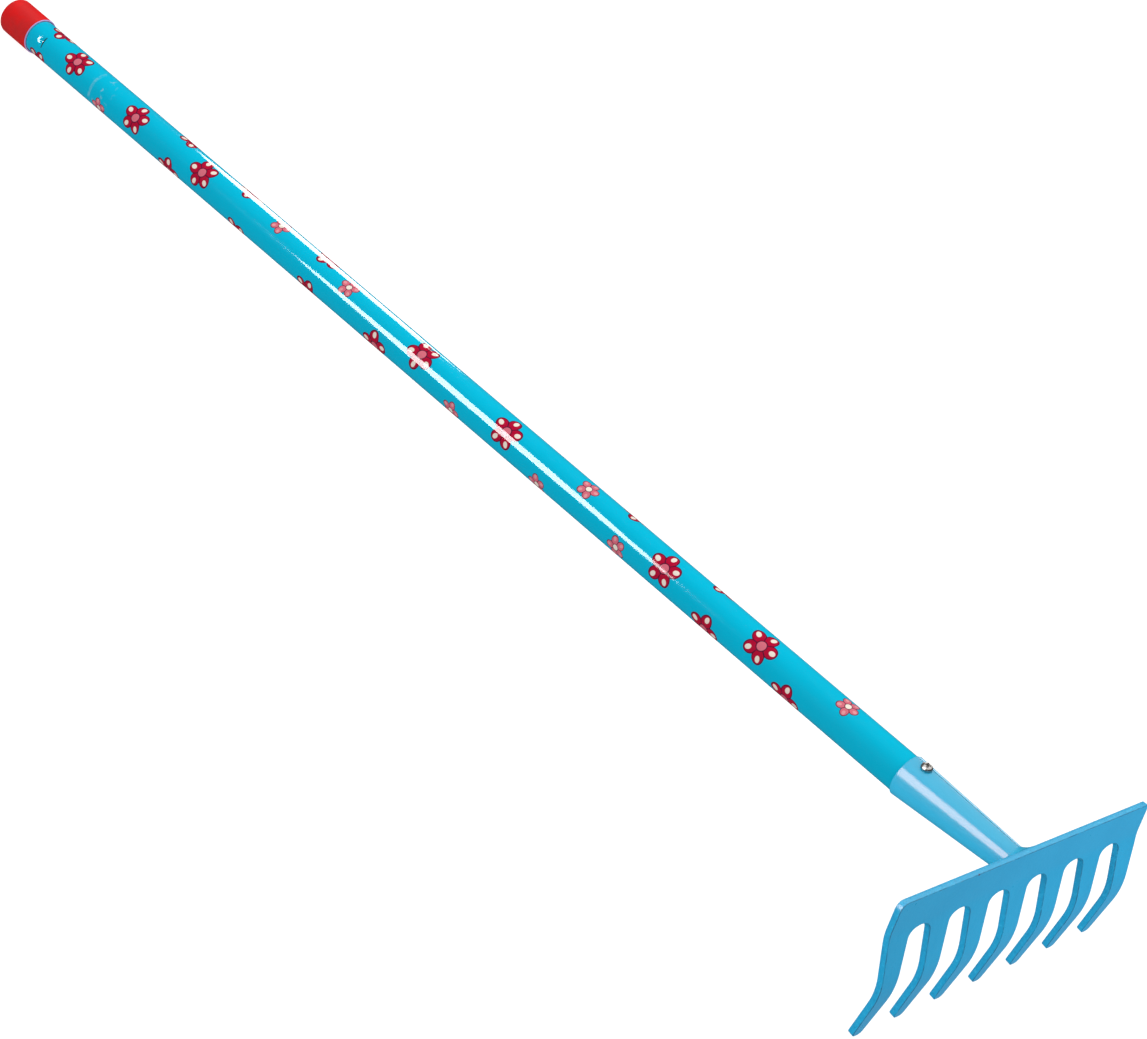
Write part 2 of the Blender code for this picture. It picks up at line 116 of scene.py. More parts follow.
# ------------------------------------------------------------- node helpers
class Tree:
    """Small wrapper that makes shader node trees readable."""

    def __init__(self, mat):
        mat.use_nodes = True
        self.t = mat.node_tree
        self.t.nodes.clear()
        self.out = self.t.nodes.new("ShaderNodeOutputMaterial")
        self.bsdf = self.t.nodes.new("ShaderNodeBsdfPrincipled")
        self.t.links.new(self.bsdf.outputs[0], self.out.inputs[0])
        self.x = 0

    def node(self, kind, **kw):
        n = self.t.nodes.new(kind)
        self.x += 40
        n.location = (-1800 + self.x, 300 - (self.x * 7) % 900)
        for k, v in kw.items():
            setattr(n, k, v)
        return n

    def put(self, sock, val):
        if isinstance(val, bpy.types.NodeSocket):
            self.t.links.new(val, sock)
        else:
            sock.default_value = val

    def math(self, op, a, b=0.0, c=0.0, clamp=False):
        n = self.node("ShaderNodeMath", operation=op, use_clamp=clamp)
        self.put(n.inputs[0], a)
        self.put(n.inputs[1], b)
        self.put(n.inputs[2], c)
        return n.outputs[0]

    def vmath(self, op, a, b=(0, 0, 0)):
        n = self.node("ShaderNodeVectorMath", operation=op)
        self.put(n.inputs[0], a)
        self.put(n.inputs[1], b)
        return n.outputs["Value"] if op in ("LENGTH", "DISTANCE", "DOT_PRODUCT") else n.outputs[0]

    def scaled(self, vec, by):
        return self.vmath("MULTIPLY", vec, by)

    def noise(self, vec, scale, detail=2.0, rough=0.5, dist=0.0):
        n = self.node("ShaderNodeTexNoise")
        self.put(n.inputs["Vector"], vec)
        n.inputs["Scale"].default_value = scale
        n.inputs["Detail"].default_value = detail
        n.inputs["Roughness"].default_value = rough
        n.inputs["Distortion"].default_value = dist
        return n.outputs[0]

    def step(self, val, lo, hi, to_lo=0.0, to_hi=1.0, smooth=True):
        n = self.node("ShaderNodeMapRange", interpolation_type="SMOOTHSTEP" if smooth else "LINEAR", clamp=True)
        self.put(n.inputs["Value"], val)
        n.inputs["From Min"].default_value = lo
        n.inputs["From Max"].default_value = hi
        n.inputs["To Min"].default_value = to_lo
        n.inputs["To Max"].default_value = to_hi
        return n.outputs[0]

    def mix(self, fac, a, b, blend="MIX"):
        n = self.node("ShaderNodeMix", data_type="RGBA", blend_type=blend)
        self.put(n.inputs["Factor"], fac)
        self.put(n.inputs["A"], a)
        self.put(n.inputs["B"], b)
        return n.outputs["Result"]

    def coords(self):
        return self.node("ShaderNodeTexCoord").outputs["Object"]

    def attr(self, name):
        return self.node("ShaderNodeAttribute", attribute_name=name).outputs["Fac"]

    def bump(self, height, strength, distance, normal=None):
        n = self.node("ShaderNodeBump")
        n.inputs["Strength"].default_value = strength
        n.inputs["Distance"].default_value = distance
        self.put(n.inputs["Height"], height)
        if normal is not None:
            self.put(n.inputs["Normal"], normal)
        return n.outputs[0]

    def set(self, **kw):
        names = {"color": "Base Color", "rough": "Roughness", "metal": "Metallic", "normal": "Normal",
                 "spec": "Specular IOR Level", "ior": "IOR", "coat": "Coat Weight", "coat_rough": "Coat Roughness",
                 "aniso": "Anisotropic"}
        for k, v in kw.items():
            self.put(self.bsdf.inputs[names[k]], v)


def rgb(r, g, b):
    return (r, g, b, 1.0)


# ---------------------------------------------------------------- materials
def paint(name, base, deep, rough, peel=1.0, edge=False, speckle=0.10):
    """Satin powder paint: soft colour clouds, orange peel, a darker line on sharp edges."""
    m = bpy.data.materials.new(name)
    t = Tree(m)
    co = t.coords()
    clouds = t.noise(co, 38.0, 3.0, 0.55)
    col = t.mix(t.step(clouds, 0.34, 0.66, 0.0, 0.55), base, deep)
    grain = t.noise(co, 900.0, 2.0, 0.6)
    col = t.mix(t.step(grain, 0.62, 0.80, 0.0, speckle), col, deep)
    if edge:
        wall = t.attr("cut_wall")
        fleck = t.noise(co, 620.0, 3.0, 0.65)
        col = t.mix(t.math("MULTIPLY", wall, t.step(fleck, 0.55, 0.70, 0.0, 0.60)), col, rgb(0.03, 0.40, 0.64))
        col = t.mix(t.math("MULTIPLY", wall, t.step(fleck, 0.30, 0.45, 0.58, 0.0)), col, rgb(0.0, 0.19, 0.38))
        # a darker line along the rounded plate edges, which is also made rougher
        edge_dark = t.math("MULTIPLY", t.attr("edge_line"), t.step(t.noise(co, 95.0, 4.0, 0.7), 0.36, 0.58, 0.30, 1.0))
        col = t.mix(t.math("MULTIPLY", edge_dark, 0.80), col, rgb(0.002, 0.085, 0.19))
        speck = t.step(t.vmath("DISTANCE", co, (-0.0414, -0.39217, 0.07302)), 0.00040, 0.00075, 0.9, 0.0)
        col = t.mix(speck, col, rgb(0.05, 0.01, 0.05))
    ro = t.math("MULTIPLY_ADD", clouds, 0.10, rough - 0.05)
    ro = t.math("MULTIPLY_ADD", grain, 0.08, t.math("SUBTRACT", ro, 0.04))
    if edge:
        ro = t.math("MULTIPLY_ADD", edge_dark, 0.25, ro)
    peelh = t.noise(co, 520.0, 2.0, 0.55)
    fine = t.noise(co, 1700.0, 1.0, 0.5)
    n1 = t.bump(peelh, 0.20 * peel, 0.0003)
    n2 = t.bump(fine, 0.10 * peel, 0.0001, n1)
    t.set(color=col, rough=ro, normal=n2, spec=0.5)
    return m


def film_print():
    """Glossy printed film: cyan ground, scattered flowers, light handling marks."""
    m = bpy.data.materials.new("film_print")
    t = Tree(m)
    uvn = t.node("ShaderNodeUVMap", uv_map="unroll")
    sep = t.node("ShaderNodeSeparateXYZ")
    t.put(sep.inputs[0], uvn.outputs[0])
    u = t.math("MULTIPLY", sep.outputs[0], 1000.0)      # mm round the tube
    v = t.math("MULTIPLY", sep.outputs[1], 1000.0)      # mm along it
    co = t.coords()

    girth = 2 * math.pi * FILM_R
    cw, ch = girth / 2.0, 31.0
    row_f = t.math("DIVIDE", v, ch)
    row = t.math("FLOOR", row_f)
    half = t.math("MULTIPLY", t.math("FLOORED_MODULO", row, 2.0), 0.5)
    cu = t.math("ADD", t.math("DIVIDE", u, cw), half)
    col_i = t.math("FLOOR", cu)
    fu = t.math("SUBTRACT", t.math("SUBTRACT", cu, col_i), 0.5)
    fv = t.math("SUBTRACT", t.math("SUBTRACT", row_f, row), 0.5)
    key = t.node("ShaderNodeCombineXYZ")
    t.put(key.inputs[0], t.math("FLOORED_MODULO", col_i, 2.0))
    t.put(key.inputs[1], row)
    key.inputs[2].default_value = 4.7
    wn = t.node("ShaderNodeTexWhiteNoise", noise_dimensions="3D")
    t.put(wn.inputs["Vector"], key.outputs[0])
    rnd = t.node("ShaderNodeSeparateColor")
    t.put(rnd.inputs[0], wn.outputs["Color"])
    r1, r2, r3, r4 = rnd.outputs[0], rnd.outputs[1], rnd.outputs[2], wn.outputs["Value"]

    small = t.math("GREATER_THAN", r4, 0.60)
    size = t.math("SUBTRACT", 1.14, t.math("MULTIPLY", small, 0.40))
    lx = t.math("MULTIPLY_ADD", fu, cw, t.math("MULTIPLY_ADD", r1, 10.0, -5.0))
    ly = t.math("MULTIPLY_ADD", fv, ch, t.math("MULTIPLY_ADD", r2, 10.0, -5.0))
    lx = t.math("DIVIDE", lx, size)
    ly = t.math("DIVIDE", ly, size)
    r = t.math("SQRT", t.math("ADD", t.math("MULTIPLY", lx, lx), t.math("MULTIPLY", ly, ly)))
    ang = t.math("ADD", t.math("ARCTAN2", ly, lx), t.math("MULTIPLY", r3, 2 * math.pi))
    fold = t.math("PINGPONG", t.math("ADD", ang, 4 * math.pi), math.pi / 5)
    px = t.math("MULTIPLY", r, t.math("COSINE", fold))
    py = t.math("MULTIPLY", r, t.math("SINE", fold))

    def disc(cx, ax, ay):
        """Signed distance, roughly in mm, to an ellipse on the petal's middle line."""
        dx = t.math("DIVIDE", t.math("SUBTRACT", px, cx), ax)
        dy = t.math("DIVIDE", py, ay)
        q = t.math("SQRT", t.math("ADD", t.math("MULTIPLY", dx, dx), t.math("MULTIPLY", dy, dy)))
        return t.math("MULTIPLY", t.math("SUBTRACT", q, 1.0), min(ax, ay))

    bare = t.math("LESS_THAN", row, 3.0)
    petal = t.math("MULTIPLY_ADD", bare, 99.0, disc(4.9, 3.6, 3.15))
    spot = t.math("MULTIPLY_ADD", bare, 99.0, disc(6.0, 1.55, 1.15))
    between = t.math("MULTIPLY", r, t.math("SINE", t.math("SUBTRACT", math.pi / 5, fold)))

    crimson, cream, pink, maroon = rgb(0.47, 0.003, 0.035), rgb(0.90, 0.80, 0.71), rgb(0.70, 0.16, 0.22), rgb(0.11, 0.006, 0.035)
    cyan, cyan_d = rgb(0.0, 0.510, 0.750), rgb(0.0, 0.495, 0.730)

    clouds = t.noise(co, 24.0, 3.0, 0.5)
    ground = t.mix(t.step(clouds, 0.35, 0.65), cyan, cyan_d)
    soft = 0.10

    def inside(d, off=0.0):
        return t.step(d, off - soft, off + soft, 1.0, 0.0)

    body = t.mix(small, crimson, pink)
    dots = t.mix(small, cream, rgb(0.80, 0.33, 0.36))
    heart = t.mix(small, pink, cream)
    col = t.mix(inside(petal), ground, maroon)
    col = t.mix(inside(petal, -0.50), col, body)
    col = t.mix(inside(spot), col, dots)
    line = t.math("MULTIPLY", inside(petal), t.step(between, 0.16, 0.34, 1.0, 0.0))
    col = t.mix(line, col, maroon)
    core = t.math("MULTIPLY_ADD", bare, 99.0, r)
    col = t.mix(t.step(core, 2.55, 2.75, 1.0, 0.0), col, maroon)
    col = t.mix(t.step(core, 2.05, 2.25, 1.0, 0.0), col, heart)
    ink = t.noise(co, 1500.0, 1.0, 0.5)
    col = t.mix(t.step(ink, 0.60, 0.85, 0.0, 0.10), col, rgb(0.02, 0.36, 0.52))

    # a rubbed ring and a few dull smears near the cap
    ring = t.math("SUBTRACT", 1.0, t.step(t.math("ABSOLUTE", t.math("SUBTRACT", v, 709.5)), 0.4, 1.5))
    ring = t.math("MULTIPLY", ring, t.step(t.noise(co, 160.0, 3.0, 0.6), 0.40, 0.62))
    zone = t.math("SUBTRACT", 1.0, t.step(t.math("ABSOLUTE", t.math("SUBTRACT", v, 702.0)), 3.0, 12.0))
    smear = t.math("MULTIPLY", zone, t.step(t.noise(co, 230.0, 3.0, 0.55), 0.58, 0.70))
    mark = t.math("MAXIMUM", t.math("MULTIPLY", ring, 0.42), t.math("MULTIPLY", smear, 0.42))
    col = t.mix(mark, col, rgb(0.42, 0.66, 0.74))

    # painted shade: a near-black band on the crimp ramp's deep end, at the cut where shade falls
    cut_shade_u = t.step(t.math("ABSOLUTE", t.math("SUBTRACT", u, FILM_R * rad(LANCE_HALF_SPAN + 4))), 3.15, 3.75, 1.0, 0.0)
    cut_shade_w = t.step(t.math("ABSOLUTE", t.math("SUBTRACT", u, FILM_R * rad(LANCE_HALF_SPAN + 4))), 0.0, 3.5, 2.10, 0.70)
    cut_shade_d = t.math("SUBTRACT", v, LANCE_Y - 0.10)
    cut_shade_v = t.math("MULTIPLY", t.math("GREATER_THAN", cut_shade_d, 0.0), t.math("LESS_THAN", cut_shade_d, cut_shade_w))
    lip = t.math("MULTIPLY", cut_shade_u, cut_shade_v)
    # the painted shade band in the cut goes on here, near black
    col = t.mix(lip, col, rgb(0.004, 0.016, 0.022))
    ro = t.math("MULTIPLY_ADD", mark, 0.50, t.step(clouds, 0.3, 0.7, 0.06, 0.09))
    ro = t.math("MAXIMUM", ro, lip)
    long = t.node("ShaderNodeCombineXYZ")
    t.put(long.inputs[0], t.math("MULTIPLY", u, 0.10))
    t.put(long.inputs[1], t.math("MULTIPLY", v, 0.022))
    wave = t.noise(long.outputs[0], 1.0, 2.0, 0.5)
    fine = t.node("ShaderNodeCombineXYZ")
    t.put(fine.inputs[0], t.math("MULTIPLY", u, 0.35))
    t.put(fine.inputs[1], t.math("MULTIPLY", v, 0.30))
    rip = t.noise(fine.outputs[0], 1.0, 2.0, 0.6)
    n1 = t.bump(wave, 0.14, 0.0010)
    n2 = t.bump(rip, 0.025, 0.0002, n1)
    t.set(color=col, rough=ro, normal=n2, spec=0.5)
    return m


def cap_plastic():
    """Satin moulded plastic with faint flow clouds and a fine spark texture."""
    m = bpy.data.materials.new("cap_plastic")
    t = Tree(m)
    co = t.coords()
    clouds = t.noise(co, 95.0, 3.0, 0.55)
    col = t.mix(t.step(clouds, 0.36, 0.64), rgb(0.82, 0.002, 0.003), rgb(0.70, 0.006, 0.008))
    dust = t.noise(co, 1400.0, 2.0, 0.6)
    col = t.mix(t.step(dust, 0.66, 0.84, 0.0, 0.22), col, rgb(0.80, 0.16, 0.14))
    # painted highlight: a lilac-white line along the cap's rim edge
    col = t.mix(t.math("MULTIPLY", t.attr("rim"), 0.92), col, rgb(0.46, 0.47, 0.90))
    ro = t.step(clouds, 0.3, 0.7, 0.34, 0.46)
    n1 = t.bump(t.noise(co, 2600.0, 2.0, 0.6), 0.25, 0.00008)
    n2 = t.bump(t.noise(co, 180.0, 2.0, 0.5), 0.12, 0.0004, n1)
    t.set(color=col, rough=ro, normal=n2, spec=0.35)
    return m


def screw_steel():
    """Bright plated steel: turning marks, painted shade in the recess."""
    m = bpy.data.materials.new("screw_steel")
    t = Tree(m)
    co = t.coords()
    tarn = t.noise(co, 900.0, 3.0, 0.6)
    col = t.mix(t.step(tarn, 0.35, 0.7), rgb(0.60, 0.58, 0.56), rgb(0.40, 0.37, 0.34))
    # painted shade: the cross recess darkened by its depth
    col = t.mix(t.math("MULTIPLY", t.attr("recess"), 0.75), col, rgb(0.05, 0.045, 0.04))
    ro = t.step(tarn, 0.3, 0.7, 0.22, 0.38)
    n1 = t.bump(t.noise(t.scaled(co, (1.0, 6.0, 6.0)), 2500.0, 2.0, 0.5), 0.15, 0.00005)
    t.set(color=col, rough=ro, normal=n1, metal=1.0)
    return m


def tube_steel():
    """Bare drawn tube, lengthwise draw lines."""
    m = bpy.data.materials.new("tube_steel")
    t = Tree(m)
    co = t.coords()
    lines = t.noise(t.scaled(co, (1.0, 0.01, 1.0)), 2200.0, 2.0, 0.6)
    col = t.mix(t.step(lines, 0.3, 0.7), rgb(0.56, 0.57, 0.58), rgb(0.40, 0.41, 0.42))
    ro = t.step(lines, 0.3, 0.7, 0.30, 0.45)
    t.set(color=col, rough=ro, normal=t.bump(lines, 0.2, 0.00006), metal=1.0)
    return m


MAT_HEAD = paint("head_paint", rgb(0.004, 0.292, 0.526), rgb(0.001, 0.268, 0.497), 0.30, edge=True)
MAT_SOCKET = paint("socket_paint", rgb(0.032, 0.420, 0.660), rgb(0.028, 0.408, 0.640), 0.21, peel=0.25, speckle=0.05)
MAT_WELD = paint("weld_paint", rgb(0.032, 0.42, 0.66), rgb(0.028, 0.40, 0.64), 0.26, peel=0.4)
MAT_SCREW = screw_steel()
MAT_TUBE = tube_steel()
MAT_FILM = film_print()
MAT_CAP = cap_plastic()


# --------------------------------------------------------------------- head
def profile_rows():
    """(s, y, z, lean) down the front of the plate, arcs in fine steps."""
    a1, a2, a3 = rad(BAND_ANGLE), rad(MID_ANGLE), rad(TIP_ANGLE)
    rows = [(0.0, 0.0, TOP_Z, a1)]

    def run(length, lean, after):
        s, y, z, _ = rows[-1]
        rows.append((s + length, y - math.sin(lean) * length, z - math.cos(lean) * length, after))

    run(BAND_LEN, a1, a1)
    for radius, l0, l1, length in ((BEND1_R, a1, a2, MID_LEN), (BEND2_R, a2, a3, TIP_LEN)):
        steps = 48
        arc = abs(l1 - l0) * radius / steps
        for i in range(steps):
            run(arc, l0 + (l1 - l0) * (i + 0.5) / steps, l0 + (l1 - l0) * (i + 1) / steps)
        run(length, l1, l1)
    return np.array(rows)


PROFILE = profile_rows()
PLATE_LEN = float(PROFILE[-1, 0])
SPRING = SLOT_TOP_S + SLOT_RISE


def on_plate(xsh):
    """(x, distance down the plate, depth behind the front face) to the pole frame."""
    xsh = np.asarray(xsh, float)
    y = np.interp(xsh[:, 1], PROFILE[:, 0], PROFILE[:, 1])
    z = np.interp(xsh[:, 1], PROFILE[:, 0], PROFILE[:, 2])
    a = np.interp(xsh[:, 1], PROFILE[:, 0], PROFILE[:, 3])
    h = 0.005 + xsh[:, 2] * 0.998
    return np.c_[xsh[:, 0], y + h * np.cos(a), z - h * np.sin(a)]


def tine_half(s):
    k = (s - SPRING) / (PLATE_LEN - SPRING)
    root = PITCH / 2 - SLOT_HALF
    return root + (TIP_HALF - root) * k


def outer_half(s):
    """Half width of the plate, with the shoulder eased over a few millimetres."""
    tip = (TINES - 1) / 2 * PITCH + TIP_HALF

    def raw(q):
        if q < SHOULDER_S:
            return HALF_W_TOP + (HALF_W_SHOULDER - HALF_W_TOP) * q / SHOULDER_S
        return HALF_W_SHOULDER + (tip - HALF_W_SHOULDER) * (q - SHOULDER_S) / (PLATE_LEN - SHOULDER_S)

    ease = 3.0
    if abs(s - SHOULDER_S) < ease:
        k = (s - SHOULDER_S + ease) / (2 * ease)
        a, b, c = raw(SHOULDER_S - ease), raw(SHOULDER_S), raw(SHOULDER_S + ease)
        return (1 - k) ** 2 * a + 2 * k * (1 - k) * b + k * k * c
    return raw(s)


def head_outline():
    """Closed outline in (x, s), along the top to the right and back by the tines."""
    pts = []
    arc = [rad(90) * i / 8 for i in range(9)]
    for q in arc:                                            # top left corner
        s = CORNER_R * (1 - math.sin(q))
        pts.append((-(outer_half(s) - CORNER_R * (1 - math.cos(q))), s))
    for i in range(1, 40):                                   # top edge
        a, b = -HALF_W_TOP + CORNER_R, HALF_W_TOP - CORNER_RR
        pts.append((a + (b - a) * i / 40, 0.0))
    for q in reversed(arc):                                  # top right corner, the squarer one
        s = CORNER_RR * (1 - math.sin(q))
        pts.append((outer_half(s) - CORNER_RR * (1 - math.cos(q)), s))
    side = [6.0, 11.0, SHOULDER_S - 3.0, SHOULDER_S - 2, SHOULDER_S - 1, SHOULDER_S, SHOULDER_S + 1, SHOULDER_S + 2, SHOULDER_S + 3.0]
    side += [30.0, 40.0, 50.0, 60.0, 68.0]
    pts += [(outer_half(s), s) for s in side]

    def tip(mid, right, left):
        for q in arc:
            s = PLATE_LEN - TIP_R + TIP_R * math.sin(q)
            pts.append((mid + right(s) - TIP_R * (1 - math.cos(q)), s))
        for q in reversed(arc):
            s = PLATE_LEN - TIP_R + TIP_R * math.sin(q)
            pts.append((mid - left(s) + TIP_R * (1 - math.cos(q)), s))

    last = (TINES - 1) / 2 * PITCH
    for c in range(TINES - 1, -1, -1):
        mid = (c - (TINES - 1) / 2) * PITCH
        right = (lambda s: outer_half(s) - last) if c == TINES - 1 else tine_half
        left = (lambda s: outer_half(s) - last) if c == 0 else tine_half
        tip(mid, right, left)
        if c > 0:
            up = [68.0, 60.0, 50.0, 40.0, 30.0]
            pts.extend((mid - tine_half(s), s) for s in up)
            slot = mid - PITCH / 2
            for i in range(0, 25):
                q = math.pi * i / 24
                pts.append((slot + SLOT_HALF * math.cos(q), SPRING - SLOT_RISE * math.sin(q)))
            pts.extend((mid - PITCH + tine_half(s), s) for s in reversed(up))
    pts += [(-outer_half(s), s) for s in reversed(side)]
    return np.array(pts)


def build_head():
    p = head_outline()
    n = len(p)
    e = np.roll(p, -1, axis=0) - p
    e /= np.linalg.norm(e, axis=1)[:, None]
    nrm = np.c_[-e[:, 1], e[:, 0]]                           # into the plate
    prev = np.roll(nrm, 1, axis=0)
    off = (nrm + prev) / (1.0 + np.sum(nrm * prev, axis=1))[:, None]

    rf, rb, hold = EDGE_F, EDGE_B, 0.22
    rings = [(rf + hold, 0.0, 0.0)]
    for i in range(6):
        q = rad(90) * i / 5
        rings.append((rf * (1 - math.sin(q)), rf * (1 - math.cos(q)), (0.6, 1.0, 1.0, 1.0, 1.0, 0.7)[i]))
    rings.append((0.0, rf + 0.20, 0.0))
    rings.append((0.0, PLATE_T * 0.5, 0.0))
    for i in range(5):
        q = rad(90) * i / 4
        rings.append((rb * (1 - math.cos(q)), PLATE_T - rb * (1 - math.sin(q)), (0.2, 0.6, 0.9, 0.9, 0.6)[i]))
    rings.append((rb + hold, PLATE_T, 0.0))

    bm = bmesh.new()
    line = bm.verts.layers.float.new("edge_line")
    wall = bm.verts.layers.float.new("cut_wall")
    loops = []
    for inset, h, w in rings:
        q = p + off * inset
        loop = []
        for i in range(n):
            v = bm.verts.new((q[i, 0], q[i, 1], h))
            v[line] = w
            v[wall] = 1.0 if inset < 0.2 else 0.0
            loop.append(v)
        loops.append(loop)
    for a, b in zip(loops, loops[1:]):
        for i in range(n):
            j = (i + 1) % n
            bm.faces.new((a[i], a[j], b[j], b[i]))
    bm.faces.new(loops[0])
    bm.faces.new(loops[-1])

    levels = [4.0, 8.0, 12.0]
    arcs = PROFILE[:, 0]
    levels += [float(s) for s in arcs[1:50:4]] + [float(s) for s in arcs[50:99:3]]
    levels += [24.0, 28.0, 33.0, 57.0, 61.0, 65.0, 69.0]
    for s in sorted(set(round(x, 4) for x in levels)):
        if 0.5 < s < PLATE_LEN - 1.5:
            bmesh.ops.bisect_plane(bm, geom=bm.verts[:] + bm.edges[:] + bm.faces[:], dist=1e-5,
                                   plane_co=(0, s, 0), plane_no=(0, 1, 0))
    co = np.array([v.co for v in bm.verts])
    w = place(on_plate(co))
    for v, q in zip(bm.verts, w):
        v.co = q
    bmesh.ops.recalc_face_normals(bm, faces=bm.faces)
    me = bpy.data.meshes.new("head_plate")
    bm.to_mesh(me)
    bm.free()
    ob = bpy.data.objects.new("head_plate", me)
    scene.collection.objects.link(ob)
    return stands_for(ob, "rake_head", MAT_HEAD)


# ------------------------------------------------------------------- socket
BACK_N = np.array([0.0, math.cos(rad(BAND_ANGLE)), -math.sin(rad(BAND_ANGLE))])
BACK_OFF = BACK_N[2] * TOP_Z + PLATE_T
CONE_LEN = SOCKET_RIM_Y - PLATE_T


def cone_point(y, angle, inset):
    d = SOCKET_RIM_Y - y
    r = SOCKET_RIM_R + (SOCKET_END_R - SOCKET_RIM_R) * d / CONE_LEN - inset
    cz = SOCKET_END_LIFT * max(d, 0.0) / CONE_LEN
    return np.array([r * math.cos(angle), y, cz + r * math.sin(angle)])


def cone_to_plane(angle, inset, gap):
    p0, p1 = cone_point(SOCKET_RIM_Y, angle, inset), cone_point(PLATE_T, angle, inset)
    f0, f1 = BACK_N @ p0 - BACK_OFF - gap, BACK_N @ p1 - BACK_OFF - gap
    return SOCKET_RIM_Y + (PLATE_T - SOCKET_RIM_Y) * f0 / (f0 - f1)


def screw_frame():
    a = rad(SCREW_ANGLE)
    p = Vector(cone_point(SCREW_Y, a, 0.0))
    along = (Vector(cone_point(SCREW_Y + 1.0, a, 0.0)) - p).normalized()
    radial = Vector((math.cos(a), 0.0, math.sin(a)))
    axis = (radial - along * radial.dot(along)).normalized()
    m = Matrix((along.cross(axis).normalized(), along, axis)).transposed().to_4x4()
    m.translation = p
    return m


def build_socket():
    """Sheet rolled to a cone: rounded lips along the butt seam, eased rim."""
    count, lip = 150, 6
    wall, ease = SOCKET_WALL, 0.30
    stations = []                                            # (share of length, rim easing)
    for i in range(5):
        q = rad(90) * i / 4
        stations.append((None, ease * (1 - math.cos(q)), ease * (1 - math.sin(q))))
    stations += [(k / 40.0, 0.0, 0.0) for k in range(1, 41)]
    verts, rows = [], []
    for share, back, thin in stations:
        row = []

        def put(angle, inset):
            q = min(max((angle - a1) / rad(24) + 1.0, 0.0), 1.0)     # far lip stands a little proud
            inset -= proud * q * q * (3 - 2 * q)
            end = cone_to_plane(angle, inset, FIT_GAP)
            y = SOCKET_RIM_Y - back if share is None else SOCKET_RIM_Y + (end - SOCKET_RIM_Y) * (0.012 + 0.988 * share)
            verts.append(cone_point(y, angle, inset))
            row.append(len(verts) - 1)

        k = 0.0 if share is None else share
        r_here = SOCKET_RIM_R + (SOCKET_END_R - SOCKET_RIM_R) * k
        half, round_n, round_f = SEAM_GAP / 2 / r_here, 0.25 / r_here, 0.5 / r_here
        a0, a1 = rad(SEAM_ANGLE) + half, rad(SEAM_ANGLE) + 2 * math.pi - half
        outer, inner = thin, wall - min(thin, wall / 2 - 0.01)
        mid, depth = (outer + inner) / 2, (inner - outer) / 2
        span = [a0 + round_n + (a1 - a0 - round_n - round_f) * j / count for j in range(count + 1)]
        proud = 0.03 * min(max((0.93 - k) / 0.12, 0.0), 1.0)
        for a in span:
            put(a, outer)
        for i in range(1, lip):
            q = math.pi * i / lip
            put(a1 - round_f + round_f * math.sin(q), mid - depth * math.cos(q))
        for a in reversed(span):
            put(a, inner)
        for i in range(1, lip):
            q = math.pi * i / lip
            put(a0 + round_n - round_n * math.sin(q), mid + depth * math.cos(q))
        rows.append(row)
    m = len(rows[0])
    faces = []
    for a, b in zip(rows, rows[1:]):
        for i in range(m):
            j = (i + 1) % m
            faces.append((a[i], a[j], b[j], b[i]))
    first_in = count + lip                                   # inner side starts here, running back
    for row in (rows[0], rows[-1]):
        for j in range(count):
            faces.append((row[j], row[j + 1], row[first_in + count - j - 1], row[first_in + count - j]))
        faces.append(tuple(row[count:first_in + 1]))
        faces.append(tuple(row[first_in + count:m]) + (row[0],))
    ob = new_object("socket_cone", verts, faces)
    face_out(ob)

    # drilled hole under the screw's head
    s = screw_frame()
    n = 40
    ring = [[s @ Vector((SCREW_HOLE_R * math.cos(2 * math.pi * j / n), SCREW_HOLE_R * math.sin(2 * math.pi * j / n), h)) for j in range(n)] for h in (-4.0, 3.0)]
    cf = [(j, (j + 1) % n, n + (j + 1) % n, n + j) for j in range(n)]
    cf += [tuple(range(n))[::-1], tuple(range(n, 2 * n))]
    tool = new_object("drill", [tuple(p) for p in ring[0] + ring[1]], cf)
    face_out(tool)
    mod = ob.modifiers.new("hole", "BOOLEAN")
    mod.operation, mod.solver, mod.object = "DIFFERENCE", "EXACT", tool
    bpy.context.view_layer.update()
    done = bpy.data.meshes.new_from_object(ob.evaluated_get(bpy.context.evaluated_depsgraph_get()))
    ob.modifiers.clear()
    ob.data = done
    bpy.data.objects.remove(tool, do_unlink=True)
    stands_for(ob, "socket", MAT_SOCKET)
    ob.data.set_sharp_from_angle(angle=rad(50))
    return ob


